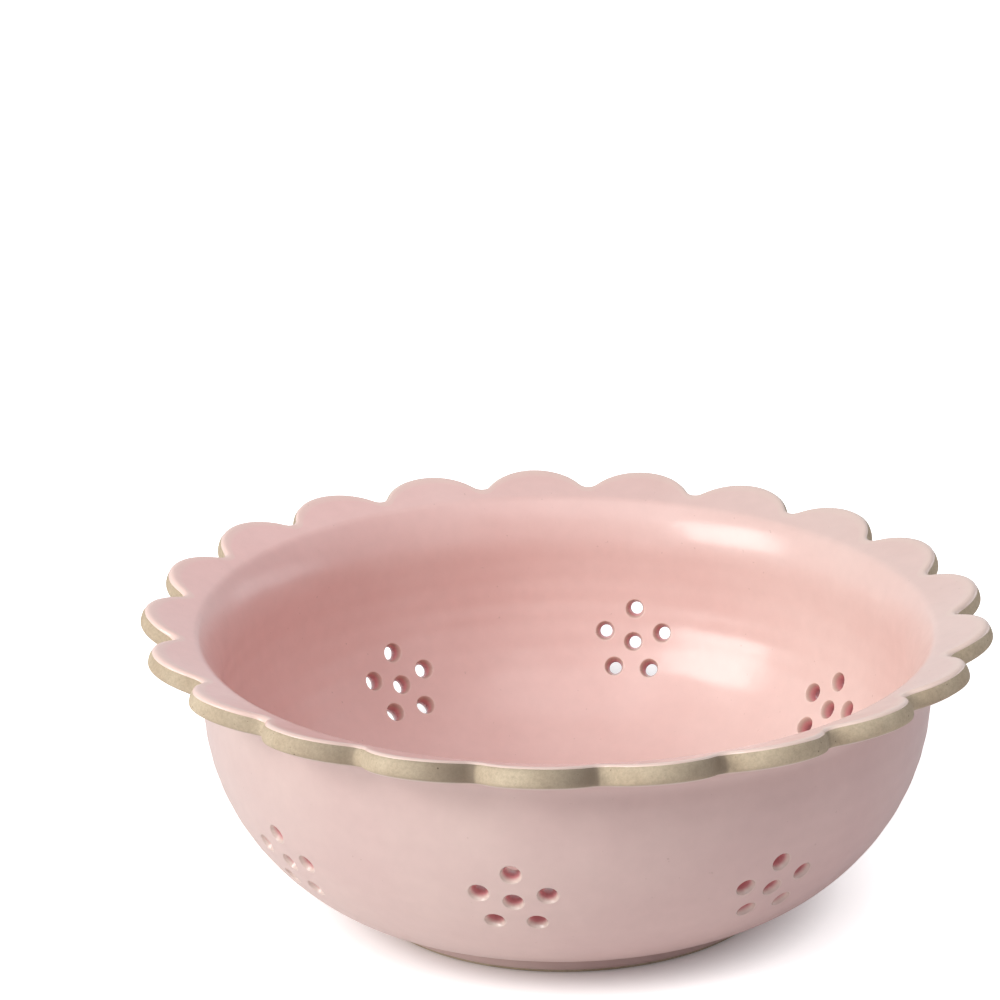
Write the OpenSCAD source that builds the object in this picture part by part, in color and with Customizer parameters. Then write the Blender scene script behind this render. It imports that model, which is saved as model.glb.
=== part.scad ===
// Berry colander bowl: a thrown stoneware bowl on a low foot, with a turned-out scalloped rim
// and pierced flowers for draining. The clay is in four zones, and the glaze is in five coats.
// Heights run up from the table. Angles around the bowl start at +X; the front is -Y.

/* [Bowl wall] */
// Outside diameter of the upright neck
neck_d = 174; // [170:0.5:178]
// Thickness of the wall, with the glaze on both sides
wall_t = 4.6; // [4:0.1:5.2]
// Height of the upright neck outside, between the belly and the bend under the flange
neck_h = 5.1; // [4:0.1:6.5]
// Height of the upright neck inside
inner_neck_h = 3.1; // [2:0.1:4]
// Thickness of the floor, with the glaze on top
floor_t = 4.3; // [3.8:0.1:5]

/* [Foot] */
// Outside diameter of the foot ring
foot_d = 100; // [90:1:106]
// Height of the foot ring
foot_h = 3.1; // [2.4:0.1:4]
// Width of the foot ring's clay
foot_w = 6.5; // [4:0.5:9]
// Rounding of the foot ring's lower corners
foot_round_r = 0.8; // [0.4:0.1:1.2]
// Bare clay left at the bottom of the foot ring's side
foot_bare_h = 0.9; // [0.9:0.1:1.5]

/* [Scalloped rim] */
// Number of lobes around the rim
lobes = 21; // [17:2:25]
// How far the lobes' tips stand out from the neck
flange_w = 14.6; // [13:0.1:17]
// How far the notches cut in from the tips
notch_depth = 7.15; // [5:0.05:8]
// Rounding at the bottom of each notch
notch_round_r = 3; // [1:0.1:4]
// Height of the bare edge at a lobe's tip
rim_h = 72.9; // [70:0.1:76]
// Rise of the flange above level, in degrees
rim_slope = 18.5; // [16:0.1:22]
// Thickness of the flange's clay, which sets its round edge
edge_t = 4.2; // [3.8:0.1:4.6]
// Inside rounding from the wall onto the flange
crest_r = 10; // [8:0.5:11]
// Outside rounding under the flange
throat_r = 5; // [4:0.5:5.5]
// Bare clay left behind the round edge
bare_edge_w = 0.3; // [0.2:0.1:1.2]
// How far the hand-thrown rim rises and dips
rim_sway = 2.4; // [0:0.1:2.5]
// Direction in which it rises, in degrees
rim_sway_angle = 140; // [0:1:360]

/* [Glaze] */
// Thickness of the glaze coats
glaze_t = 0.4; // [0.3:0.05:0.5]
// Thickness to which a coat thins at the bare edge
glaze_end_t = 0.12; // [0.08:0.01:0.2]

/* [Flowers] */
// Diameter of each pierced hole
hole_d = 3.1; // [2.6:0.1:3.6]
// Width by which the glaze draws back around each hole
lip_w = 0.5; // [0.3:0.05:0.8]
// Radius of the ring of five petal holes
petal_ring_r = 8.4; // [7.5:0.1:9.5]
// Drop of the higher flowers' middles below the widest line of the belly
high_flower_drop = 20.1; // [16:0.1:22]
// Drop of the lower flowers' middles
low_flower_drop = 24.8; // [22:0.1:27]

/* [Hidden] */
$fn = 180;

// Overrun of every cut past the face that it opens
cut_over = 2;
// Upright wall left inside between the bowl and the seam under the flange
seam_rise = 0.7;

// Places of the eight flowers, in degrees from the front towards +X, as the hand set them
flower_angles = [-9, 35, 80, 121, 167, 214, 260, 307];
petals = 5;
petal_pitch = 360 / petals;
// The first petal stands straight up
petal_start = 90;
// The turned walls start and end midway between two flowers
turn_start = (flower_angles[2] + flower_angles[3]) / 2 - 90;

// Steps of the flange's mesh along a lobe, closer at the notches
lobe_step_shares = [0, 0.055, 0.12, 0.22, 0.35, 0.5, 0.65, 0.78, 0.88, 0.945];
// Steps around the edge and around the two bends
edge_steps = 4;
crest_steps = 3;
throat_steps = 2;

neck_r = neck_d / 2;
foot_r = foot_d / 2;
foot_clay_r = foot_r - glaze_t;
foot_in_r = foot_clay_r - foot_w;
// The floor and the wall meet over the middle of the foot ring
floor_r = foot_clay_r - foot_w / 2;

rim_r = neck_r + flange_w;
notch_r = rim_r - notch_depth;
edge_r = edge_t / 2;
lobe_pitch = 360 / lobes;
// Each lobe is an arc that runs into the notch roundings on both sides
notch_x = notch_r + notch_round_r;
round_reach = rim_r + notch_round_r;
lobe_x = (pow(round_reach, 2) - pow(notch_x, 2)) / (2 * (round_reach - notch_x * cos(lobe_pitch / 2)));
lobe_r = rim_r - lobe_x;
// Where arc and rounding meet, as an angle from the middle of the lobe
touch_share = lobe_r / (lobe_r + notch_round_r);
touch = [lobe_x, 0] + touch_share * [notch_x * cos(lobe_pitch / 2) - lobe_x, notch_x * sin(lobe_pitch / 2)];
touch_angle = atan2(touch[1], touch[0]);
bend_angle = 90 - rim_slope;
along = [cos(rim_slope), sin(rim_slope)];
above = [-sin(rim_slope), cos(rim_slope)];

// The neck ends where the lower of the flange's two bends starts, at the rim's lowest side
neck_top_z = min(
    bend_start_z(neck_r, -edge_r - glaze_t, throat_r),
    bend_start_z(neck_r - wall_t, edge_r + glaze_t, crest_r)
) - rim_sway;
// The belly's outside arc stands upright at the neck and springs from the foot's outer corner
belly_z = neck_top_z - neck_h;
belly_run = neck_r - foot_r;
belly_r = (pow(belly_run, 2) + pow(belly_z - foot_h, 2)) / (2 * belly_run);
belly_x = neck_r - belly_r;
// The inside arc stands upright at the neck and runs level into the floor
floor_z = foot_h + floor_t;
bowl_z = neck_top_z - inner_neck_h;
bowl_r = bowl_z - floor_z;
bowl_x = neck_r - wall_t - bowl_r;
seam_z = bowl_z + seam_rise;

hole_r = hole_d / 2;

clay = "#cdbb9b";
glaze_pink = "#e3c3bd";
glaze_rose = "#cf9f9d";

// Flange outline and section

// Distance from the axis to the rim's outermost point
function rim_reach(angle) =
    let (
        off = abs(angle - lobe_pitch * (floor(angle / lobe_pitch) + 0.5)),
        from_notch = lobe_pitch / 2 - off
    )
    off > touch_angle
        ? notch_x * cos(from_notch) - sqrt(pow(notch_round_r, 2) - pow(notch_x * sin(from_notch), 2))
        : lobe_x * cos(off) + sqrt(pow(lobe_r, 2) - pow(lobe_x * sin(off), 2));

// Height of the middle of a level flange at a distance from the axis, and with the sway
function level_flange_z(r) = rim_h - edge_r - (rim_r - edge_r - r) * tan(rim_slope);
function flange_z(r, angle) = level_flange_z(r) + rim_sway * cos(angle - rim_sway_angle);

// Height at which a bend onto the level flange starts on an upright wall at radius r
function bend_start_z(r, lift, bend_r) =
    level_flange_z(r) + lift / cos(rim_slope) - bend_r * tan(bend_angle / 2);

function edge_centre(angle) =
    let (r = rim_reach(angle) - edge_r)
    [r, flange_z(r, angle)];

// A bend from an upright wall at radius r onto the flange face that lies off the middle by lift
function bend(r, lift, bend_r, steps, angle) =
    let (
        corner_z = flange_z(r, angle) + lift / cos(rim_slope),
        centre = [r + bend_r, corner_z - bend_r * tan(bend_angle / 2)]
    )
    [for (i = [0 : steps])
        let (turn = 180 - bend_angle * i / steps)
        centre + bend_r * [cos(turn), sin(turn)]];

function crest(skin, angle) =
    bend(neck_r - wall_t + skin, edge_r + glaze_t - skin, crest_r - skin, crest_steps, angle);

function throat(skin, angle) =
    bend(neck_r - skin, skin - edge_r - glaze_t, throat_r + skin, throat_steps, angle);

function backwards(points) = [for (i = [len(points) - 1 : -1 : 0]) points[i]];

// The clay: neck, throat, round edge and crest
function clay_section(angle) =
    let (centre = edge_centre(angle))
    concat(
        [[neck_r - wall_t + glaze_t, seam_z], [neck_r - glaze_t, seam_z]],
        throat(glaze_t, angle),
        [for (i = [0 : edge_steps])
            let (turn = rim_slope - 90 + 180 * i / edge_steps)
            centre + edge_r * [cos(turn), sin(turn)]],
        backwards(crest(glaze_t, angle))
    );

// The coat over the top, thinning towards the bare edge
function top_glaze_section(angle) =
    let (end = edge_centre(angle) + edge_r * above - bare_edge_w * along)
    concat(
        [[neck_r - wall_t, seam_z], [neck_r - wall_t + glaze_t, seam_z]],
        crest(glaze_t, angle),
        [end, end + glaze_end_t * above],
        backwards(crest(0, angle))
    );

// The coat underneath, thinning the same way
function under_glaze_section(angle) =
    let (end = edge_centre(angle) - edge_r * above - bare_edge_w * along)
    concat(
        [[neck_r - glaze_t, seam_z], [neck_r, seam_z]],
        throat(0, angle),
        [end - glaze_end_t * above, end],
        backwards(throat(glaze_t, angle))
    );

ring_angles = [
    for (lobe = [0 : lobes - 1])
        for (share = lobe_step_shares) lobe_pitch * (lobe + share)
];

// Closed ring swept through one section for each angle around the rim
module sweep_ring(sections) {
    rings = len(sections);
    n = len(sections[0]);
    points = [for (i = [0 : rings - 1])
        let (angle = ring_angles[i])
        for (p = sections[i]) [p[0] * cos(angle), p[0] * sin(angle), p[1]]];
    faces = [for (i = [0 : rings - 1])
        let (here = i * n, next = ((i + 1) % rings) * n)
        for (j = [0 : n - 1])
            let (up = (j + 1) % n)
            [here + j, here + up, next + up, next + j]];
    polyhedron(points, faces, convexity = 8);
}

// Bowl profiles, drawn in the plane of radius and height

// Everything inside the outer face, set in by skin
module outer_outline(skin) {
    intersection() {
        union() {
            translate([belly_x, belly_z]) circle(belly_r - skin);
            square([belly_x, seam_z]);
            translate([0, belly_z]) square([neck_r - skin, seam_z - belly_z]);
        }
        translate([0, foot_h]) square([neck_r, seam_z - foot_h]);
    }
}

// The hollow, grown by skin
module hollow_outline(skin) {
    intersection() {
        union() {
            translate([bowl_x, bowl_z]) circle(bowl_r + skin);
            translate([0, floor_z - skin]) square([bowl_x, seam_z - floor_z + skin]);
            translate([0, bowl_z]) square([neck_r - wall_t + skin, seam_z - bowl_z]);
        }
        square([neck_r, seam_z]);
    }
}

module clay_outline() {
    difference() {
        outer_outline(glaze_t);
        hollow_outline(glaze_t);
    }
}

module turned() {
    rotate([0, 0, turn_start]) rotate_extrude() children();
}

module rounded_foot_outline(low_r, width) {
    translate([low_r + foot_round_r, 0]) square([width - 2 * foot_round_r, foot_h]);
    translate([low_r, foot_round_r]) square([width, foot_h - foot_round_r]);
    for (r = [low_r + foot_round_r, low_r + width - foot_round_r])
        translate([r, foot_round_r]) circle(foot_round_r);
}

// Drain holes

// Distance from the belly arc's centre to the inside face, down an angle below level
function inside_reach(dip) =
    let (
        aim = [cos(dip), -sin(dip)],
        off = [bowl_x - belly_x, bowl_z - belly_z],
        ahead = off * aim
    )
    ahead + sqrt(pow(ahead, 2) - off * off + pow(bowl_r, 2));

// One hole through a thickness t, from height zero down
module drain_hole(t, widen) {
    translate([0, 0, -t - cut_over]) cylinder(h = t + 2 * cut_over, r = hole_r + widen);
}

// A hole square to the wall, at a direction around the bowl and an angle below level
module wall_hole(direction, dip, widen) {
    rotate([0, 0, direction - 90])
        translate([belly_x, 0, belly_z])
        rotate([0, dip, 0])
        translate([belly_r, 0, 0])
        rotate([0, 90, 0])
        drain_hole(belly_r - inside_reach(dip), widen);
}

// A centre hole and five petals, with the petals set out along the wall's face
module wall_flower(direction, drop, widen) {
    dip = asin(drop / belly_r);
    wall_hole(direction, dip, widen);
    for (k = [0 : petals - 1]) {
        side = petal_ring_r * cos(petal_start + k * petal_pitch);
        rise = petal_ring_r * sin(petal_start + k * petal_pitch);
        petal_dip = dip - rise / belly_r * 180 / PI;
        around_r = belly_x + belly_r * cos(petal_dip);
        wall_hole(direction + side / around_r * 180 / PI, petal_dip, widen);
    }
}

module wall_flowers(widen) {
    for (k = [0 : len(flower_angles) - 1])
        wall_flower(flower_angles[k], k % 2 == 0 ? high_flower_drop : low_flower_drop, widen);
}

module floor_flower(widen) {
    translate([0, 0, floor_z]) {
        drain_hole(floor_t + glaze_t, widen);
        for (k = [0 : petals - 1])
            rotate([0, 0, petal_start + k * petal_pitch])
                translate([petal_ring_r, 0, 0]) drain_hole(floor_t + glaze_t, widen);
    }
}

// Clay zones

module foot_ring() {
    color(clay) rotate_extrude() rounded_foot_outline(foot_in_r, foot_w);
}

module base_floor() {
    color(clay) difference() {
        rotate_extrude() intersection() {
            clay_outline();
            square([floor_r, seam_z]);
        }
        floor_flower(0);
    }
}

module bowl_wall() {
    color(clay) difference() {
        turned() intersection() {
            clay_outline();
            translate([floor_r, 0]) square([neck_r, seam_z]);
        }
        wall_flowers(0);
    }
}

module scalloped_flange() {
    color(clay) sweep_ring([for (angle = ring_angles) clay_section(angle)]);
}

// Glaze coats

module inner_glaze() {
    color(glaze_rose) difference() {
        turned() difference() {
            hollow_outline(glaze_t);
            hollow_outline(0);
        }
        wall_flowers(lip_w);
        floor_flower(lip_w);
    }
}

module flange_top_glaze() {
    color(glaze_pink) sweep_ring([for (angle = ring_angles) top_glaze_section(angle)]);
}

module flange_under_glaze() {
    color(glaze_pink) sweep_ring([for (angle = ring_angles) under_glaze_section(angle)]);
}

module outer_glaze() {
    color(glaze_pink) difference() {
        turned() {
            difference() {
                outer_outline(0);
                outer_outline(glaze_t);
                square([foot_clay_r, foot_h]);
            }
            translate([foot_clay_r, foot_bare_h]) square([glaze_t, foot_h - foot_bare_h]);
        }
        wall_flowers(lip_w);
    }
}

module base_glaze() {
    color(glaze_rose) difference() {
        translate([0, 0, foot_h - glaze_t]) cylinder(h = glaze_t, r = foot_in_r);
        floor_flower(lip_w);
    }
}

foot_ring();
base_floor();
bowl_wall();
scalloped_flange();
inner_glaze();
flange_top_glaze();
flange_under_glaze();
outer_glaze();
base_glaze();
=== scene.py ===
"""Berry colander bowl: glazed stoneware with a scalloped bare-clay rim and pierced flowers."""
from math import asin, cos, pi, radians, sin, tan

import bmesh
import bpy
import numpy as np
from mathutils import Euler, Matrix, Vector


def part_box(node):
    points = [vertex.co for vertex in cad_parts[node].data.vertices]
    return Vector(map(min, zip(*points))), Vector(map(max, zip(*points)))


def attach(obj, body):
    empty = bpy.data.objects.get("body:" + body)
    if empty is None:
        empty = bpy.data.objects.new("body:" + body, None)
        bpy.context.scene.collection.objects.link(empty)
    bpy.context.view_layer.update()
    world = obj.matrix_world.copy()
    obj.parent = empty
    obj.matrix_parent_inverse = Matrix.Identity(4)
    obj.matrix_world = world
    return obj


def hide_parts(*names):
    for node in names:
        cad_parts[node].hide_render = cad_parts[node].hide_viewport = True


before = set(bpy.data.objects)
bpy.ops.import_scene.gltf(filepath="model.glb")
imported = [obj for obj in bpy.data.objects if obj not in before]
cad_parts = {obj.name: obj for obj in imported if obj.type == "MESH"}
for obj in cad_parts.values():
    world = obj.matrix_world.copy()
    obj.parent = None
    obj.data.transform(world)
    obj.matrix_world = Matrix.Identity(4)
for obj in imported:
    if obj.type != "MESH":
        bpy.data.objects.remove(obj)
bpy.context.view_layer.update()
MM = 0.001


# Sizes in millimetres, read from the solids' boxes

def cad_high(node, axis):
    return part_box(node)[1][axis] / MM


def cad_low(node, axis):
    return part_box(node)[0][axis] / MM


NECK_R = cad_high("outer_glaze", 1)
GLAZE_T = NECK_R - cad_high("bowl_wall", 1)
WALL_T = NECK_R + GLAZE_T - cad_high("inner_glaze", 1)
FOOT_R = cad_high("foot_ring", 1) + GLAZE_T
FOOT_H = cad_high("foot_ring", 2)
FLOOR_Z = cad_low("inner_glaze", 2) + GLAZE_T
SEAM_Z = cad_high("bowl_wall", 2)
RIM_R = -cad_low("scalloped_flange", 0)
RECESS_R = cad_high("base_glaze", 1)
RECESS_Z = cad_low("base_glaze", 2)

# Sizes in millimetres that the solids' boxes don't give
BELLY_R = 51.99
SEAM_RISE = 0.7
NOTCH_DEPTH = 7.15
NOTCH_ROUND_R = 3.0
NOTCH_SPREAD = 2.2
RIM_H = 72.9
EDGE_R = 2.15
EDGE_BULGE = 1.65
CREST_R = 20.0
CREST_TIGHT_R = 4.0
CREST_CLEAR = 1.5
THROAT_R = 5.0
FOOT_BARE_H = 0.9
FOOT_ROUND_R = 0.8
FLOOR_MIDDLE_R = 14.0
HOLE_R = 1.55
LIP_W = 0.9
LIP_R = HOLE_R + LIP_W + 0.1
LIP_DROP = 0.06
PATCH_R = 3.0
PETAL_RING_R = 8.4
SWAY = 2.4
SECOND_SWAY = 0.4

# The belly is raised a little where it meets the foot, fading out over this height
FOOT_LIFT = 0.7
FOOT_LIFT_SPAN = 5.0

# What the hand leaves: strays of the holes, the lobes and the thrown wall, in millimetres, and of
# the notches, in lobe pitches
HOLE_STRAY = 0.2
LOBE_STRAY = 0.3
OVAL_STRAY = 0.16
WALL_STRAY = 0.08
THROWING_RING = 0.035
NOTCH_STRAY = 0.008

LOBES = 21
PETALS = 5
SLOPE = radians(18.5)
CREST_TURN = radians(40)
SWAY_ANGLE = radians(140)
SECOND_SWAY_ANGLE = radians(256)
# Each flower's angle from the front, drop below the belly's widest line, and height for its width
FLOWERS = (
    (-9, 20.5, 0.98), (34.5, 24.8, 0.95), (80, 20.1, 1), (120.3, 25.8, 1.02),
    (167, 19.7, 1.11), (214.2, 25.6, 1.11), (260, 20.1, 1), (307, 23.6, 1.02),
)

LOBE_PITCH = 2 * pi / LOBES
PETAL_TURNS = [pi / 2 + 2 * pi * petal / PETALS for petal in range(PETALS)]
LOBE_COLUMNS = 33
COLUMNS = LOBES * LOBE_COLUMNS
ROW_STEP = 0.65
CREST_ROWS = 12
TIGHT_ROWS = 7
EDGE_ROWS = 25
CORNER_ROWS = 7
DRAIN_SIDES = 32

NOTCH_R = RIM_R - NOTCH_DEPTH
BELLY_X = NECK_R - BELLY_R
BELLY_Z = FOOT_H + (BELLY_R ** 2 - (FOOT_R - BELLY_X) ** 2) ** 0.5
BOWL_Z = SEAM_Z - SEAM_RISE
BOWL_R = BOWL_Z - FLOOR_Z
BOWL_X = NECK_R - WALL_T - BOWL_R
OUTER_ARC = (BELLY_X, BELLY_Z, BELLY_R)
INNER_ARC = (BOWL_X, BOWL_Z, BOWL_R)

ALONG = np.array([cos(SLOPE), sin(SLOPE)])
ABOVE = np.array([-sin(SLOPE), cos(SLOPE)])
BEND = pi / 2 - SLOPE
EDGE_REACH = ((EDGE_BULGE * cos(SLOPE)) ** 2 + (EDGE_R * sin(SLOPE)) ** 2) ** 0.5
EDGE_RISE = ((EDGE_BULGE * sin(SLOPE)) ** 2 + (EDGE_R * cos(SLOPE)) ** 2) ** 0.5
# How square the round edge is: in its outline, and in the height that the glaze follows
EDGE_POWER = 0.8
EDGE_SQUARENESS = 2.5
# Step in millimetres for taking a slope
NUDGE = 0.01

theta = np.arange(COLUMNS) * 2 * pi / COLUMNS
random = np.random.default_rng(21)


# Rim outline

def lobe_circle():
    """Middle distance and radius of a lobe's arc, with the notches rounded between the arcs."""
    reach = RIM_R + NOTCH_ROUND_R
    notch = NOTCH_R + NOTCH_ROUND_R
    middle = (reach ** 2 - notch ** 2) / (2 * (reach - notch * cos(LOBE_PITCH / 2)))
    return middle, RIM_R - middle


def hand_cut(angles):
    """Position within the lobe, from -0.5 to 0.5, and its number, with notches cut by hand."""
    stray = random.uniform(-NOTCH_STRAY, NOTCH_STRAY, LOBES + 1)
    stray[LOBES] = stray[0]
    place = angles / LOBE_PITCH
    number = np.floor(place).astype(int)
    share = place - number
    low, high = stray[number], 1 + stray[number + 1]
    return np.clip((share - low) / (high - low), 0, 1) - 0.5, number


def rim_reach(angles):
    """Distance from the axis to the rim's outermost point."""
    place, number = hand_cut(angles)
    off = place * LOBE_PITCH
    middle, lobe_r = lobe_circle()
    arc = middle * np.cos(off) + np.sqrt(lobe_r ** 2 - (middle * np.sin(off)) ** 2)
    from_notch = LOBE_PITCH / 2 - np.abs(off)
    centre = NOTCH_R + NOTCH_ROUND_R
    inside = np.maximum(NOTCH_ROUND_R ** 2 - (centre * np.sin(from_notch)) ** 2, 0)
    fillet = centre * np.cos(from_notch) - np.sqrt(inside)
    touch_x = centre * cos(LOBE_PITCH / 2) - middle
    touch_y = centre * sin(LOBE_PITCH / 2)
    scale = lobe_r / (lobe_r + NOTCH_ROUND_R)
    touch = np.arctan2(touch_y * scale, middle + touch_x * scale)
    reach = np.where(np.abs(off) > touch, fillet, arc)
    size = random.uniform(-LOBE_STRAY, 0.0, LOBES)[number % LOBES]
    return reach + size * np.cos(place * pi) ** 2


REACH = rim_reach(theta)
PLACE = hand_cut(theta)[0]
FROM_NOTCH = (0.5 - np.abs(PLACE)) * LOBE_PITCH * NOTCH_R
NOTCH_NEAR = np.exp(-(FROM_NOTCH / NOTCH_SPREAD) ** 2)
SWAY_Z = SWAY * np.cos(theta - SWAY_ANGLE) + SECOND_SWAY * np.cos(2 * theta - SECOND_SWAY_ANGLE)

# How far the glaze reaches past the start of the round edge, wavering round the rim. On top it
# reaches furthest at the bowl's two sides, and underneath it stays back from the notches
WAVES = ((0.12, 5, 1.0), (0.08, 13, 2.0), (0.06, 31, 0.0))
WAVER = sum(height * np.sin(count * theta + start) for height, count, start in WAVES)
TOP_REACH = np.minimum(0.75 + 0.7 * np.cos(theta) ** 2 + WAVER + 0.1 * NOTCH_NEAR, 1.5)
UNDER_REACH = -0.1 + np.roll(WAVER, 50) - 1.0 * NOTCH_NEAR


# Rows of points round the bowl, each a distance from the axis and a height for every column

def flange_z(r):
    """Height of the middle of the flange at a distance from the axis, for every column."""
    return RIM_H - EDGE_RISE - (RIM_R - EDGE_REACH - r) * tan(SLOPE) + SWAY_Z


def level_row(r, z):
    return np.full(COLUMNS, float(r)), np.full(COLUMNS, float(z))


def arc_rows(arc, start_dip, end_dip):
    """Rows along a wall arc, from one angle below level to another."""
    x, z, r = arc
    steps = int(round(r * abs(end_dip - start_dip) / ROW_STEP))
    dips = np.linspace(start_dip, end_dip, steps + 1)
    return [level_row(x + r * cos(d), z - r * sin(d)) for d in dips]


def between_rows(first, last, steps):
    """Rows on straight lines between two rows, without either of them."""
    return [
        tuple(a + (b - a) * k / steps for a, b in zip(first, last))
        for k in range(1, steps)
    ]


def bend_rows(r, lift, bend_r, steps):
    """Rows round the bend from an upright wall at radius r onto the flange face at a lift."""
    corner_z = flange_z(r) + lift / cos(SLOPE)
    rows = []
    for k in range(steps + 1):
        turn = pi - BEND * k / steps
        row_z = corner_z - bend_r * tan(BEND / 2) + bend_r * sin(turn)
        rows.append((np.full(COLUMNS, r + bend_r + bend_r * cos(turn)), row_z))
    return rows


def crest_rows(r, lift):
    """Rows rolling from the inner wall onto the flange: a gentle bend, then a tight one."""
    out = CREST_R * (1 - cos(CREST_TURN))
    up = CREST_R * sin(CREST_TURN)
    tight_out = CREST_TIGHT_R * (cos(CREST_TURN) - cos(BEND))
    tight_up = CREST_TIGHT_R * (sin(BEND) - sin(CREST_TURN))
    start_z = flange_z(r + out + tight_out) + lift / cos(SLOPE) - up - tight_up
    start_turn = np.arcsin(np.clip((BOWL_Z - start_z) / CREST_R, 0, 1))
    rows = []
    for share in np.linspace(0, 1, CREST_ROWS):
        turn = start_turn + (CREST_TURN - start_turn) * share
        rows.append((r + CREST_R * (1 - np.cos(turn)), start_z + CREST_R * np.sin(turn)))
    for turn in np.linspace(CREST_TURN, BEND, TIGHT_ROWS)[1:]:
        row_r = r + out + CREST_TIGHT_R * (cos(CREST_TURN) - cos(turn))
        row_z = start_z + up + CREST_TIGHT_R * (sin(turn) - sin(CREST_TURN))
        rows.append((np.full(COLUMNS, row_r), row_z))
    return rows


def edge_row(along, above):
    """A row placed off the middle of the rim's round edge, along and above the flange."""
    r = REACH - EDGE_REACH
    row_z = flange_z(r) + along * ALONG[1] + above * ABOVE[1]
    return r + along * ALONG[0] + above * ABOVE[0], row_z


def edge_height(along):
    """Height of the clay's face over the middle of the edge, flat at first and then round."""
    share = np.clip(along / EDGE_BULGE, 0, 1)
    return EDGE_R * (1 - share ** EDGE_SQUARENESS) ** (1 / EDGE_SQUARENESS)


# Distance back from the glaze's end, and the coat's thickness there as a share of the full one
GLAZE_END = (
    (2.6, 1.0), (1.9, 1.0), (1.3, 0.97), (0.85, 0.88),
    (0.5, 0.7), (0.22, 0.42), (0.06, 0.15), (0.0, -0.2),
)


def glaze_end_rows(side, reach):
    """The coat's last rows: full thickness, then rounded down onto the clay."""
    rows = []
    for back, lift in GLAZE_END:
        along = reach - back
        slope = (edge_height(along + NUDGE) - edge_height(along - NUDGE)) / (2 * NUDGE)
        length = np.sqrt(1 + slope ** 2)
        off = GLAZE_T * lift
        above = side * (edge_height(along) + off / length)
        rows.append(edge_row(along - off * slope / length, above))
    return rows


def foot_side_rows():
    """Rows up the foot's side, from the glaze's rounded end to the corner under the belly."""
    corner_z = FOOT_H + FOOT_LIFT
    rows = [
        level_row(FOOT_R - GLAZE_T - 0.05, FOOT_BARE_H - 0.1),
        level_row(FOOT_R - GLAZE_T * 0.4, FOOT_BARE_H + 0.02),
        level_row(FOOT_R - GLAZE_T * 0.1, FOOT_BARE_H + 0.25),
        level_row(FOOT_R, FOOT_BARE_H + 0.6),
    ]
    rows += [level_row(FOOT_R, z) for z in np.linspace(FOOT_BARE_H + 0.9, corner_z - 0.6, 5)]
    rows += [level_row(FOOT_R + 0.08, corner_z - 0.28), level_row(FOOT_R + 0.3, corner_z - 0.06)]
    return rows


def lifted(rows):
    """Rows whose lowest part is raised a little where it meets the foot."""
    return [(r, z + FOOT_LIFT * np.exp(-((z - FOOT_H) / FOOT_LIFT_SPAN) ** 2)) for r, z in rows]


# Holes

# Shares of the way down a lip, and the power by which it narrows
LIP_SHARES = (0.0, 0.03, 0.08, 0.16, 0.26, 0.38, 0.5, 0.64, 0.8, 1.0)
LIP_CURVE = 1.6
LIP_THIN = 0.3
# How far past the middle of the wall the two coats' hole walls overlap
WAIST_OVERLAP = 1.06


def lip_rings(depth):
    """Rings of a countersunk lip down to the waist: radius, depth, thin glaze and deep colour."""
    rings = [(LIP_R, 0.0, LIP_THIN, 0.0)]
    for share in LIP_SHARES:
        radius = HOLE_R + LIP_W * (1 - share) ** LIP_CURVE
        deep = min(1, 0.05 + share * 1.2)
        rings.append((radius, LIP_DROP + (depth - LIP_DROP) * share, LIP_THIN, deep))
    rings.append((HOLE_R + 0.01, depth * WAIST_OVERLAP, LIP_THIN, 1.0))
    return rings


def onto_arc(point, normal, arc):
    """Slides a point along the normal onto the surface that the arc sweeps."""
    x, z, r = arc
    point = point.copy()
    for _ in range(5):
        off = ((np.hypot(point.x, point.y) - x) ** 2 + (point.z - z) ** 2) ** 0.5 - r
        point -= normal * off
    return point


def flower_places(tall):
    """Middles of a flower's holes, sideways and upwards from its own middle."""
    petals = [(PETAL_RING_R * cos(turn), PETAL_RING_R * sin(turn) * tall) for turn in PETAL_TURNS]
    return [(0.0, 0.0)] + petals


def wall_holes():
    """Each hole's middle on the outside and its outward direction."""
    holes = []
    size = (len(FLOWERS), PETALS + 1, 2)
    strays = np.random.default_rng(8).uniform(-HOLE_STRAY, HOLE_STRAY, size)
    for (angle, drop, tall), stray in zip(FLOWERS, strays):
        dip = asin(drop / BELLY_R)
        for side, rise in stray + flower_places(tall):
            petal_dip = dip - rise / BELLY_R
            around_r = BELLY_X + BELLY_R * cos(petal_dip)
            turn = radians(angle - 90) + side / around_r
            normal = (cos(petal_dip) * cos(turn), cos(petal_dip) * sin(turn), -sin(petal_dip))
            height = BELLY_Z - BELLY_R * sin(petal_dip)
            middle = Vector((around_r * cos(turn), around_r * sin(turn), height))
            holes.append((middle, Vector(normal)))
    return holes


# Sheets of rows, with holes let into them

# How much further than a hole's patch its cells are looked for, across and along the rows
COLUMN_MARGIN = 1
ROW_MARGIN = 2
# Rings between a patch's border and the lip: share of the way, and thin glaze
PATCH_RINGS = ((0.35, 0.05), (0.7, 0.15))


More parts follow.
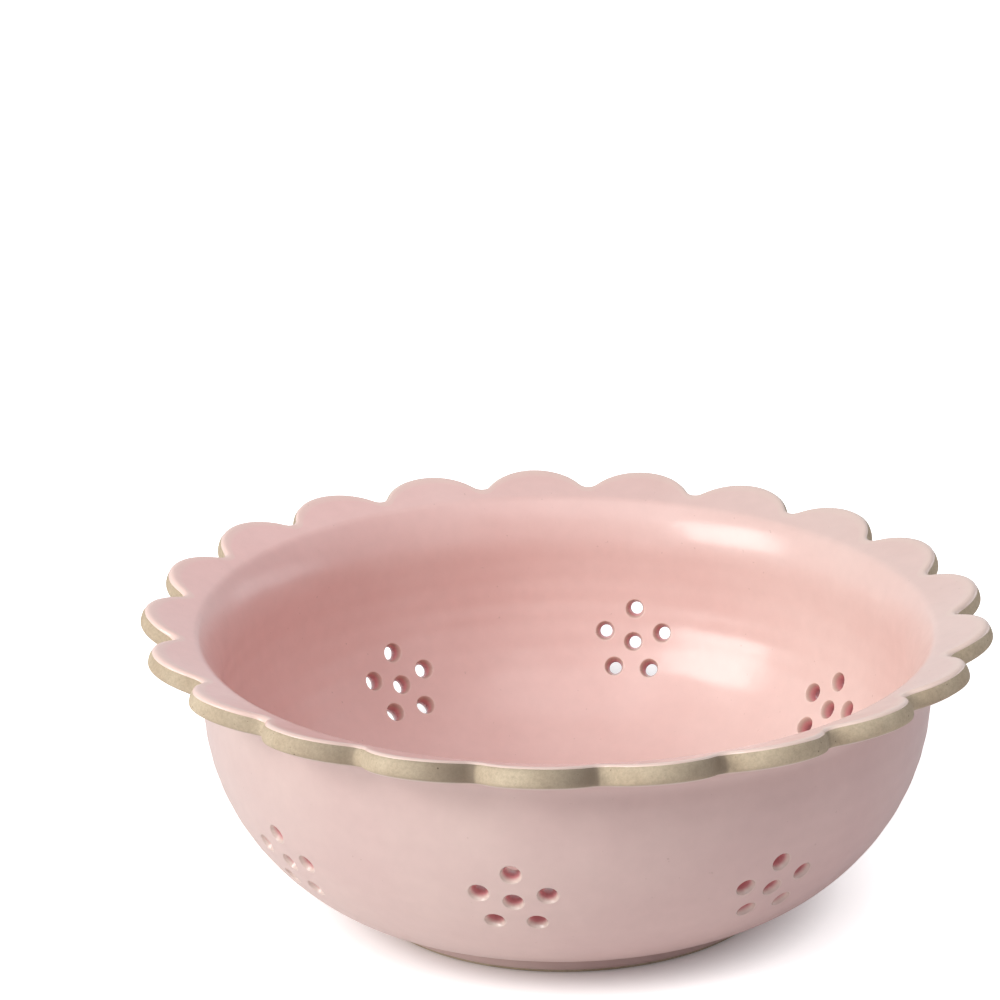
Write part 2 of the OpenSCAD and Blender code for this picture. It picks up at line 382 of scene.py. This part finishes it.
class Sheet:
    """Points in rows round the bowl with quads between, and values for thin glaze and depth."""

    def __init__(self, rows, outside):
        self.rows = len(rows)
        self.outside = outside
        r = np.array([row[0] for row in rows])
        z = np.array([row[1] for row in rows])
        points = np.stack([r * np.cos(theta), r * np.sin(theta), z], -1)
        self.points = list(points.reshape(-1, 3))
        self.thin = [0.0] * len(self.points)
        self.deep = [0.0] * len(self.points)
        self.open_cells = set()
        self.extra_faces = []

    def index(self, row, column):
        return row * COLUMNS + column % COLUMNS

    def cell(self, i, j):
        """The four points round a cell, in the order that faces outwards."""
        return (
            self.index(i, j), self.index(i, j + 1),
            self.index(i + 1, j + 1), self.index(i + 1, j),
        )

    def add(self, point, thin, deep):
        self.points.append(point)
        self.thin.append(thin)
        self.deep.append(deep)
        return len(self.points) - 1

    def quad(self, a, b, c, d):
        self.extra_faces.append((a, b, c, d) if self.outside else (d, c, b, a))

    def fade_end(self, count, start, gain):
        """Raises the value for thin glaze over the last rows."""
        for i in range(count):
            for j in range(COLUMNS):
                self.thin[self.index(self.rows - count + i, j)] = start + gain * i / count

    def cells_near(self, centre, across, upward, reach):
        """Cells whose middles lie within reach of a point, as pairs of row and column."""
        column = int(np.arctan2(centre.y, centre.x) % (2 * pi) / (2 * pi) * COLUMNS)
        column_w = np.hypot(centre.x, centre.y) * 2 * pi / COLUMNS
        spread = int((reach + COLUMN_MARGIN) / column_w) + 1
        cells = set()
        for i in range(self.rows - 1):
            start = Vector(self.points[self.index(i, column)]) - centre
            if abs(start.dot(upward)) > reach + ROW_MARGIN:
                continue
            for j in range(column - spread, column + spread + 1):
                a, b, c, d = self.cell(i, j)
                off = Vector(sum(self.points[k] for k in (a, b, d, c)) / 4) - centre
                if np.hypot(off.dot(across), off.dot(upward)) < reach:
                    cells.add((i, j))
        return cells

    def border(self, cells):
        """The loop of points round a patch of cells."""
        after = {}
        for i, j in cells:
            corners = ((i, j), (i, j + 1), (i + 1, j + 1), (i + 1, j))
            outside = ((i - 1, j), (i, j + 1), (i + 1, j), (i, j - 1))
            for k in range(4):
                if outside[k] not in cells:
                    after[corners[k]] = corners[(k + 1) % 4]
        first = min(after)
        loop, here = [], first
        while not loop or here != first:
            loop.append(self.index(*here))
            here = after[here]
        return loop

    def open_patch(self, centre, across, upward):
        """Opens the cells round a hole and gives the loop of points that borders them."""
        cells = self.cells_near(centre, across, upward, PATCH_R)
        for i, j in cells:
            assert (i, j % COLUMNS) not in self.open_cells
            self.open_cells.add((i, j % COLUMNS))
        return self.border(cells)

    def let_in_hole(self, centre, normal, arc, thickness):
        """Opens a patch of cells round a hole and fills it with rings, a lip and a hole wall."""
        across = Vector((-normal.y, normal.x, 0)).normalized()
        upward = normal.cross(across)
        if self.outside:
            upward = -upward
        loop = self.open_patch(centre, across, upward)
        inward = -1 if self.outside else 1
        polar = []
        for k in loop:
            off = Vector(self.points[k]) - centre
            x, y = off.dot(across), off.dot(upward)
            polar.append((np.arctan2(y, x), np.hypot(x, y)))

        def ring(radii, depth, thin, deep):
            out = []
            for (turn, _), rho in zip(polar, radii):
                flat = centre + across * (rho * cos(turn)) + upward * (rho * sin(turn))
                point = onto_arc(flat, normal, arc) + normal * (inward * depth)
                out.append(self.add(tuple(point), thin, deep))
            return out

        rings = [loop]
        for share, thin in PATCH_RINGS:
            radii = [reach + (LIP_R - reach) * share for _, reach in polar]
            rings.append(ring(radii, 0, thin, 0))
        for rho, depth, thin, deep in lip_rings(thickness / 2):
            rings.append(ring([rho] * len(loop), depth, thin, deep))
        for outer, inner in zip(rings, rings[1:]):
            n = len(outer)
            for k in range(n):
                self.quad(outer[k], outer[(k + 1) % n], inner[(k + 1) % n], inner[k])

    def let_in_wall_holes(self):
        """Lets in the wall's holes, each down to the middle of the wall there."""
        for centre, normal in wall_holes():
            inside = onto_arc(centre - normal * WALL_T, normal, INNER_ARC)
            thickness = (centre - inside).length
            if self.outside:
                self.let_in_hole(centre, normal, OUTER_ARC, thickness)
            else:
                self.let_in_hole(inside, normal, INNER_ARC, thickness)

    def faces(self):
        out = []
        for i in range(self.rows - 1):
            for j in range(COLUMNS):
                if (i, j) not in self.open_cells:
                    quad = self.cell(i, j)
                    out.append(quad if self.outside else quad[::-1])
        return out + self.extra_faces


def drain_lip(sheet, faces, x, y, z, downward):
    """Adds a drain hole's lip and wall to a sheet, and gives the loop round it."""
    step = 1 if downward else -1
    turns = [2 * pi * k / DRAIN_SIDES for k in range(DRAIN_SIDES)]
    rings = []
    for rho, down, thin, deep in lip_rings((FLOOR_Z - RECESS_Z) / 2):
        rings.append([
            sheet.add((x + rho * cos(turn), y + rho * sin(turn), z + step * down), thin, deep)
            for turn in turns
        ])
    for outer, inner in zip(rings, rings[1:]):
        for k in range(DRAIN_SIDES):
            after = (k + 1) % DRAIN_SIDES
            quad = (outer[k], outer[after], inner[after], inner[k])
            faces.append(quad[::-1] if downward else quad)
    return rings[0]


def fill_between(sheet, loops, downward):
    """Triangles on the flat area inside the first loop and round the others."""
    bm = bmesh.new()
    for loop in loops:
        verts = [bm.verts.new(sheet.points[k]) for k in loop]
        for vert, k in zip(verts, loop):
            vert.index = k
        for a, b in zip(verts, verts[1:] + verts[:1]):
            bm.edges.new((a, b))
    number = {vert: vert.index for vert in bm.verts}
    filled = bmesh.ops.triangle_fill(bm, use_beauty=True, edges=bm.edges[:])
    out = []
    for face in filled["geom"]:
        if isinstance(face, bmesh.types.BMFace):
            ids = tuple(number[v] for v in face.verts)
            upwards = face.normal.z > 0
            out.append(ids if upwards != downward else ids[::-1])
    bm.free()
    return out


def add_pierced_floor(sheet, faces, z, downward):
    """Fills the flat middle inside a sheet's first row, round the six drain holes."""
    places = [(0.0, 0.0)]
    places += [(-PETAL_RING_R * sin(turn), PETAL_RING_R * cos(turn)) for turn in PETAL_TURNS]
    loops = [[sheet.index(0, j) for j in range(COLUMNS)]]
    for x, y in places:
        loops.append(drain_lip(sheet, faces, x, y, z, downward))
    faces.extend(fill_between(sheet, loops, downward))


def hand_thrown(points):
    """Slight unevenness of a thrown wall: it strays from round, and faint rings run round it."""
    p = np.array(points, dtype=float)
    angle = np.arctan2(p[:, 1], p[:, 0])
    r = np.hypot(p[:, 0], p[:, 1])
    z = p[:, 2]
    body = np.clip((z - FLOOR_Z) / 20, 0, 1) * np.clip(r / 40, 0, 1)
    stray = OVAL_STRAY * np.sin(2 * angle + 0.6 + z / 40)
    stray = stray + WALL_STRAY * np.sin(5 * angle - z / 17)
    below_rim = np.clip((RIM_H - 12 - z) / 6, 0, 1)
    rings = THROWING_RING * np.sin(z * 1.15 + 0.8 * np.sin(angle + 1.3)) * below_rim
    grow = 1 + body * (stray + rings) / np.maximum(r, 1)
    p[:, 0] *= grow
    p[:, 1] *= grow
    return p


def build(name, points, faces, values, material, nodes):
    """Makes a piece of the bowl from points in millimetres."""
    mesh = bpy.data.meshes.new(name)
    mesh.from_pydata((np.array(points) * MM).tolist(), [], faces)
    for key, data in values.items():
        layer = mesh.attributes.new(key, "FLOAT", "POINT")
        layer.data.foreach_set("value", np.array(data, dtype=np.float32))
    mesh.polygons.foreach_set("use_smooth", [True] * len(mesh.polygons))
    mesh.materials.append(material)
    piece = bpy.data.objects.new(name, mesh)
    bpy.context.scene.collection.objects.link(piece)
    mesh.validate()
    mesh.update()
    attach(piece, "root")
    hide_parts(*nodes)
    return piece


# Shader nodes

def new_material(name):
    material = bpy.data.materials.new(name)
    material.use_nodes = True
    tree = material.node_tree
    return material, tree, tree.nodes["Principled BSDF"]


def node(tree, kind, **values):
    made = tree.nodes.new(kind)
    for key, value in values.items():
        if key in made.inputs:
            made.inputs[key].default_value = value
        else:
            setattr(made, key, value)
    return made


def feed(tree, value, socket):
    """Links a socket to what feeds it, or sets a constant on it."""
    if hasattr(value, "links"):
        tree.links.new(value, socket)
    else:
        socket.default_value = value


def attribute(tree, name):
    return node(tree, "ShaderNodeAttribute", attribute_name=name).outputs["Fac"]


def noise(tree, coords, scale, detail=3.0, roughness=0.5):
    made = node(tree, "ShaderNodeTexNoise", Scale=scale, Detail=detail, Roughness=roughness)
    tree.links.new(coords.outputs["Object"], made.inputs["Vector"])
    return made.outputs["Fac"]


def ramp(tree, value, *stops):
    """A colour ramp with (place, colour) stops; a plain number stands for a grey."""
    made = node(tree, "ShaderNodeValToRGB")
    elements = made.color_ramp.elements
    while len(elements) < len(stops):
        elements.new(0.5)
    for element, (place, colour) in zip(elements, stops):
        element.position = place
        element.color = colour if isinstance(colour, tuple) else (colour, colour, colour, 1)
    tree.links.new(value, made.inputs["Fac"])
    return made.outputs["Color"]


def mix(tree, factor, first, second, blend="MIX"):
    made = node(tree, "ShaderNodeMix", data_type="RGBA", blend_type=blend)
    colours = [socket for socket in made.inputs if socket.type == "RGBA"]
    feed(tree, factor, made.inputs["Factor"])
    feed(tree, first, colours[0])
    feed(tree, second, colours[1])
    return [socket for socket in made.outputs if socket.type == "RGBA"][0]


def maths(tree, operation, first, second):
    made = node(tree, "ShaderNodeMath", operation=operation)
    feed(tree, first, made.inputs[0])
    feed(tree, second, made.inputs[1])
    return made.outputs[0]


def bump(tree, height, distance, strength, normal=None):
    made = node(tree, "ShaderNodeBump", Strength=strength, Distance=distance)
    tree.links.new(height, made.inputs["Height"])
    if normal is not None:
        tree.links.new(normal, made.inputs["Normal"])
    return made.outputs["Normal"]


def srgb(red, green, blue):
    """A colour written as 0 to 255, as a linear colour with alpha."""
    def linear(c):
        c /= 255
        return c / 12.92 if c <= 0.04045 else ((c + 0.055) / 1.055) ** 2.4
    return (linear(red), linear(green), linear(blue), 1)


# Materials

# Width in metres over which a glaze's painted light-and-shade tint changes across the bowl, and
# the glazes' shared tones
SHADE_TINT_WIDTH = 0.2
# Deep pink of glaze pooled down the holes, darkened as painted shade
HOLE_PINK_AND_SHADE = srgb(214, 128, 136)
GLAZE_SPECK = srgb(150, 112, 96)
CLAY_SPECK = srgb(84, 66, 50)
# Dark clay tone for painted shade and some smoke on the rim's edge
SMOKE_AND_SHADE = srgb(116, 102, 89)
GLAZE_IOR = 1.52
CLAY_ROUGH = 0.82
CLAY_SPECULAR = 0.3
# How much of the glaze's roughness is lost in the holes, where it pools
WET = 0.72


def lit_and_shaded_tint(tree, coords, colour, left, right):
    """A colour times a tint that changes from the bowl's left side to its right: painted light and
    shade, a colour shift between the bowl's lit and shaded sides.
    """
    place = node(tree, "ShaderNodeSeparateXYZ")
    tree.links.new(coords.outputs["Object"], place.inputs[0])
    across = maths(tree, "MULTIPLY", place.outputs["X"], 1 / SHADE_TINT_WIDTH)
    across = maths(tree, "ADD", across, 0.5)
    return mix(tree, 1.0, colour, ramp(tree, across, (0.15, left), (0.85, right)), "MULTIPLY")


def thinned(tree, coords, colour, thin):
    """A glaze colour that fades raggedly into its thin tone towards the glaze's ends."""
    ragged = maths(tree, "MULTIPLY", noise(tree, coords, scale=420, detail=2), 0.5)
    amount = maths(tree, "MULTIPLY", attribute(tree, "thin"), maths(tree, "ADD", ragged, 0.7))
    return mix(tree, maths(tree, "MINIMUM", amount, 1.0), colour, thin)


def holed(tree, deep, colour, lip_glaze_and_shading):
    """A glaze colour that turns into the lip's tone and then a deep pink down the holes: thin and
    pooled glaze, with a painted tone on the lips, pale on the outside and dark on the inside, and
    painted shade down the holes.
    """
    amount = ramp(tree, deep, (0.0, 0.0), (0.2, 0.3), (0.45, 0.6), (1.0, 0.8))
    return mix(tree, amount, colour, ramp(tree, deep, (0.27, lip_glaze_and_shading), (0.7, HOLE_PINK_AND_SHADE)))


def specked(tree, value, colour, low, high, amount, tone):
    """A colour with small specks where a noise value is highest."""
    specks = ramp(tree, value, (low, 0.0), (high, 1.0))
    return mix(tree, maths(tree, "MULTIPLY", specks, amount), colour, tone)


def glaze_material(name, body, pooled, thin, lip_glaze_and_shading, rough, left, right):
    """Coloured glaze: pools darker, pales on edges, carries painted light and shade as a tint
    across the bowl and on the hole lips, with an orange-peel skin.
    """
    material, tree, shader = new_material(name)
    coords = node(tree, "ShaderNodeTexCoord")
    deep = attribute(tree, "deep")
    clouds = noise(tree, coords, scale=22, detail=4, roughness=0.55)
    drift = ramp(tree, clouds, (0.35, body), (0.7, pooled))
    spots = noise(tree, coords, scale=260, detail=3, roughness=0.6)
    mottle = ramp(tree, spots, (0.3, 0.965), (0.7, 1.0))
    colour = mix(tree, 1.0, drift, mottle, "MULTIPLY")
    colour = lit_and_shaded_tint(tree, coords, colour, left, right)
    colour = thinned(tree, coords, colour, thin)
    colour = holed(tree, deep, colour, lip_glaze_and_shading)
    dust = noise(tree, coords, scale=900, detail=1, roughness=0.4)
    colour = specked(tree, dust, colour, low=0.78, high=0.82, amount=0.25, tone=GLAZE_SPECK)
    tree.links.new(colour, shader.inputs["Base Color"])
    breath = noise(tree, coords, scale=60, detail=2)
    dry = ramp(tree, breath, (0.3, rough), (0.75, rough * 1.25))
    wet = maths(tree, "MINIMUM", maths(tree, "MULTIPLY", deep, 2.5), WET)
    glassy = maths(tree, "MULTIPLY", dry, maths(tree, "SUBTRACT", 1.0, wet))
    tree.links.new(glassy, shader.inputs["Roughness"])
    shader.inputs["IOR"].default_value = GLAZE_IOR
    waves = noise(tree, coords, scale=130, detail=2, roughness=0.4)
    skin = bump(tree, waves, distance=0.00035, strength=0.35)
    pits = noise(tree, coords, scale=1400, detail=2)
    grain = bump(tree, pits, distance=0.00002, strength=0.3, normal=skin)
    tree.links.new(grain, shader.inputs["Normal"])
    return material


def clay_material(name, light, dark):
    """Bare fired stoneware: buff, gritty, with small iron specks and dark patches of smoke and
    painted shade.
    """
    material, tree, shader = new_material(name)
    coords = node(tree, "ShaderNodeTexCoord")
    clouds = noise(tree, coords, scale=75, detail=4, roughness=0.6)
    patches = ramp(tree, clouds, (0.35, light), (0.72, dark))
    sand = noise(tree, coords, scale=1200, detail=4, roughness=0.75)
    grit = ramp(tree, sand, (0.32, 0.78), (0.62, 1.0))
    colour = mix(tree, 1.0, patches, grit, "MULTIPLY")
    # Painted shade with some smoke, where the "thin" values on the rim's edge call for it
    colour = mix(tree, maths(tree, "MULTIPLY", attribute(tree, "thin"), 0.7), colour, SMOKE_AND_SHADE)
    iron = noise(tree, coords, scale=1300, detail=1, roughness=0.3)
    colour = specked(tree, iron, colour, low=0.77, high=0.81, amount=0.7, tone=CLAY_SPECK)
    tree.links.new(colour, shader.inputs["Base Color"])
    shader.inputs["Roughness"].default_value = CLAY_ROUGH
    shader.inputs["Specular IOR Level"].default_value = CLAY_SPECULAR
    knobs = noise(tree, coords, scale=320, detail=3, roughness=0.6)
    lumps = bump(tree, knobs, distance=0.00025, strength=0.5)
    grains = noise(tree, coords, scale=2200, detail=3)
    grain = bump(tree, grains, distance=0.00012, strength=0.5, normal=lumps)
    tree.links.new(grain, shader.inputs["Normal"])
    return material


OUTER_GLAZE = glaze_material(
    "outer_glaze", body=srgb(212, 190, 182), pooled=srgb(205, 180, 174),
    # The outside lips' pale tone is partly thin glaze and partly a painted highlight
    thin=srgb(200, 188, 174), lip_glaze_and_shading=srgb(238, 222, 210), rough=0.3,
    # Painted light and shade: the outside's right, in shade, is tinted pinker
    left=(1, 1, 1, 1), right=(1, 0.91, 0.93, 1),
)
INNER_GLAZE = glaze_material(
    "inner_glaze", body=srgb(239, 206, 199), pooled=srgb(234, 197, 190),
    # The inside lips' dark olive tone is partly thin glaze and partly painted shade
    thin=srgb(230, 209, 195), lip_glaze_and_shading=srgb(168, 146, 128), rough=0.21,
    # Painted light and shade: the inside's shaded left is tinted deeper pink, its lit right
    # creamier
    left=(1, 0.885, 0.9, 1), right=(0.915, 0.955, 0.935, 1),
)
BARE_CLAY = clay_material("bare_clay", light=srgb(202, 186, 160), dark=srgb(180, 161, 136))


# Pieces

def outer_coat():
    """Glaze on the outside: foot side, belly, neck and the flange's underside, with hole walls."""
    corner_dip = asin((BELLY_Z - FOOT_H) / BELLY_R)
    belly = lifted(arc_rows(OUTER_ARC, corner_dip - 0.9 / BELLY_R, 0))
    throat = bend_rows(NECK_R, -EDGE_R - GLAZE_T, THROAT_R, steps=8)
    end = glaze_end_rows(-1, UNDER_REACH)
    rows = foot_side_rows() + belly
    rows += between_rows(belly[-1], throat[0], steps=12) + throat
    rows += between_rows(throat[-1], end[0], steps=8) + end
    sheet = Sheet(rows, outside=True)
    sheet.fade_end(len(end), start=0.25, gain=0.6)
    sheet.let_in_wall_holes()
    return build(
        "outer_glaze_coat", hand_thrown(sheet.points), sheet.faces(),
        {"thin": sheet.thin, "deep": sheet.deep},
        OUTER_GLAZE, ("outer_glaze", "flange_under_glaze", "bowl_wall"),
    )


def inner_coat():
    """Glaze on the inside: floor, wall, crest and the flange's top, with hole walls."""
    floor = [level_row(r, FLOOR_Z) for r in np.linspace(FLOOR_MIDDLE_R, BOWL_X, 16)[:-1]]
    wall = arc_rows(INNER_ARC, pi / 2, CREST_CLEAR / BOWL_R)
    crest = crest_rows(NECK_R - WALL_T, EDGE_R + GLAZE_T)
    end = glaze_end_rows(1, TOP_REACH)
    rows = floor + wall + between_rows(wall[-1], crest[0], steps=6) + crest
    rows += between_rows(crest[-1], end[0], steps=8) + end
    sheet = Sheet(rows, outside=False)
    sheet.fade_end(len(end), start=0.25, gain=0.7)
    sheet.let_in_wall_holes()
    faces = sheet.faces()
    add_pierced_floor(sheet, faces, FLOOR_Z, downward=False)
    return build(
        "inner_glaze_coat", hand_thrown(sheet.points), faces,
        {"thin": sheet.thin, "deep": sheet.deep},
        INNER_GLAZE, ("inner_glaze", "flange_top_glaze", "base_floor"),
    )


def rim_smoke_and_shade():
    """Share of darkened clay in each column, painted shade with some smoke: at the front, beside a
    notch, and at the right, which faces away from the key light.
    """
    front = 0.1 + 0.9 * np.clip(-np.sin(theta), 0, 1) ** 4
    right = 0.2 * np.clip(np.cos(theta), 0, 1) ** 2
    beside_notch = np.exp(-((PLACE - 0.5) / 0.42) ** 2)
    return np.clip(front * beside_notch + right + 0.15 * NOTCH_NEAR, 0, 1)


def clay_edge():
    """The bare, round edge of the scalloped flange, which starts and ends under the glaze."""
    rows = [edge_row(-3.0, -EDGE_R * 0.98), edge_row(-1.5, -EDGE_R * 0.995)]
    for turn in np.linspace(-pi / 2, pi / 2, EDGE_ROWS):
        along = EDGE_BULGE * abs(cos(turn)) ** EDGE_POWER
        above = EDGE_R * np.sign(sin(turn)) * abs(sin(turn)) ** EDGE_POWER
        rows.append(edge_row(along, above))
    rows.append(edge_row(-0.8, EDGE_R * 0.98))
    sheet = Sheet(rows, outside=True)
    # Here the "thin" values hold the clay's share of painted shade and smoke, not thin glaze
    sheet.thin = rim_smoke_and_shade().tolist() * len(rows)
    return build(
        "clay_edge", hand_thrown(sheet.points), sheet.faces(), {"thin": sheet.thin},
        BARE_CLAY, ("scalloped_flange",),
    )


def foot_rim():
    """Bare clay at the bottom of the foot ring, with its rounded corners and inner side."""
    low, high = cad_high("base_glaze", 1), FOOT_R - GLAZE_T
    rows = [level_row(high, FOOT_BARE_H + 0.5), level_row(high, FOOT_ROUND_R)]
    for turn in np.linspace(0, pi / 2, CORNER_ROWS):
        row_r = high - FOOT_ROUND_R * (1 - cos(turn))
        rows.append(level_row(row_r, FOOT_ROUND_R * (1 - sin(turn))))
    for turn in np.linspace(pi / 2, pi, CORNER_ROWS):
        row_r = low + FOOT_ROUND_R * (1 + cos(turn))
        rows.append(level_row(row_r, FOOT_ROUND_R * (1 - sin(turn))))
    rows.append(level_row(low, RECESS_Z + 0.2))
    sheet = Sheet(rows, outside=False)
    return build(
        "foot_rim", sheet.points, sheet.faces(), {"thin": sheet.thin},
        BARE_CLAY, ("foot_ring",),
    )


def base_coat():
    """Glaze on the recess under the floor."""
    rows = [level_row(r, RECESS_Z) for r in np.linspace(FLOOR_MIDDLE_R, RECESS_R, 10)]
    sheet = Sheet(rows, outside=True)
    faces = sheet.faces()
    add_pierced_floor(sheet, faces, RECESS_Z, downward=True)
    return build(
        "base_glaze_coat", sheet.points, faces, {"thin": sheet.thin, "deep": sheet.deep},
        OUTER_GLAZE, ("base_glaze",),
    )


# Stage, light and camera

FLOOR_SIZE = 6
FLOOR_TONE = (0.93, 0.9, 0.9, 1)
# The floor is plain white from this distance on, and the shadow reaches further behind the bowl
WHITE_FROM = 0.22
SHADOW_LENGTH = 0.35
# Glow of the floor against its distance, as a share of the distance at which it is plain white
FLOOR_GLOW = ((0.22, 0.04), (0.26, 0.3), (0.3, 0.6), (0.34, 0.74), (0.45, 0.8), (1.0, 1.0))
# The floor's glow for every ray but the camera's, which has 1
FLOOR_BOUNCE = 0.08
SKY = (0.3, 0.305, 0.33, 1)
WHITE = (1, 1, 1, 1)

WARM = (1, 0.985, 0.965)
SLIGHTLY_WARM = (1, 0.99, 0.98)
COOL = (0.98, 0.98, 1)
AIM = (0, 0, 0.04)
# Name, place, width, height, watts and colour of each lamp
LAMPS = (
    ("key", (-1.03, -0.59, 0.7), 0.8, 0.64, 12.1, WARM),
    ("key_spill", (-1.1, -0.57, 0.82), 1.9, 1.3, 1.8, WARM),
    ("front", (-0.1, -0.8, 1.35), 1.4, 1.1, 5.4, SLIGHTLY_WARM),
    ("top", (0, -0.3, 1.3), 1.5, 1.5, 2.4, SLIGHTLY_WARM),
    ("rim", (1.15, 0.5, 0.16), 1.0, 0.6, 2.6, COOL),
)

# Fitted to the photograph: focal length, place in metres, and turns in degrees
LENS = 149.72
CAMERA_PLACE = (0, -0.93406, 0.41252)
CAMERA_TURNS = (71.498, 1.544, 0.388)


def distance_from_bowl(tree):
    """Distance from the bowl on the floor, shortened behind it, as a share of WHITE_FROM."""
    place = node(tree, "ShaderNodeSeparateXYZ")
    tree.links.new(node(tree, "ShaderNodeTexCoord").outputs["Object"], place.inputs[0])
    x, y = place.outputs["X"], place.outputs["Y"]
    behind = maths(tree, "MINIMUM", y, maths(tree, "MULTIPLY", y, SHADOW_LENGTH))
    square = maths(tree, "ADD", maths(tree, "POWER", x, 2), maths(tree, "POWER", behind, 2))
    return maths(tree, "DIVIDE", maths(tree, "POWER", square, 0.5), WHITE_FROM)


def white_floor():
    """A pale floor that the camera sees as white, with the bowl's shadow on it."""
    bpy.ops.mesh.primitive_plane_add(size=FLOOR_SIZE)
    floor = bpy.context.object
    floor.name = "floor"
    material, tree, shader = new_material("floor")
    shader.inputs["Base Color"].default_value = FLOOR_TONE
    shader.inputs["Roughness"].default_value = 0.9
    shader.inputs["Specular IOR Level"].default_value = 0.1
    path = node(tree, "ShaderNodeLightPath")
    strength = maths(tree, "MAXIMUM", path.outputs["Is Camera Ray"], FLOOR_BOUNCE)
    tree.links.new(strength, shader.inputs["Emission Strength"])
    glow = ramp(tree, distance_from_bowl(tree), *FLOOR_GLOW)
    tree.links.new(glow, shader.inputs["Emission Color"])
    floor.data.materials.append(material)


def sky():
    """A plain world light, seen as white by the camera and in reflections."""
    world = bpy.data.worlds.new("world")
    bpy.context.scene.world = world
    world.use_nodes = True
    tree = world.node_tree
    shade = tree.nodes["Background"]
    rays = node(tree, "ShaderNodeLightPath").outputs
    seen = maths(tree, "MAXIMUM", rays["Is Camera Ray"], rays["Is Transmission Ray"])
    seen = maths(tree, "MAXIMUM", seen, rays["Is Glossy Ray"])
    tree.links.new(mix(tree, seen, SKY, WHITE), shade.inputs["Color"])


def softbox(name, place, width, height, watts, colour):
    light = bpy.data.lights.new(name, "AREA")
    light.shape = "RECTANGLE"
    light.size = width
    light.size_y = height
    light.energy = watts
    light.color = colour
    lamp = bpy.data.objects.new(name, light)
    lamp.location = place
    aim = Vector(AIM) - Vector(place)
    lamp.rotation_euler = aim.to_track_quat("-Z", "Y").to_euler()
    bpy.context.scene.collection.objects.link(lamp)


def camera():
    data = bpy.data.cameras.new("camera")
    data.lens = LENS
    data.sensor_width = 36
    data.clip_start = 0.01
    cam = bpy.data.objects.new("camera", data)
    cam.location = CAMERA_PLACE
    cam.rotation_euler = Euler([radians(turn) for turn in CAMERA_TURNS])
    bpy.context.scene.collection.objects.link(cam)
    bpy.context.scene.camera = cam


outer_coat()
inner_coat()
clay_edge()
foot_rim()
base_coat()
white_floor()
sky()
for lamp_values in LAMPS:
    softbox(*lamp_values)
camera()
bpy.context.scene.view_settings.view_transform = "Standard"
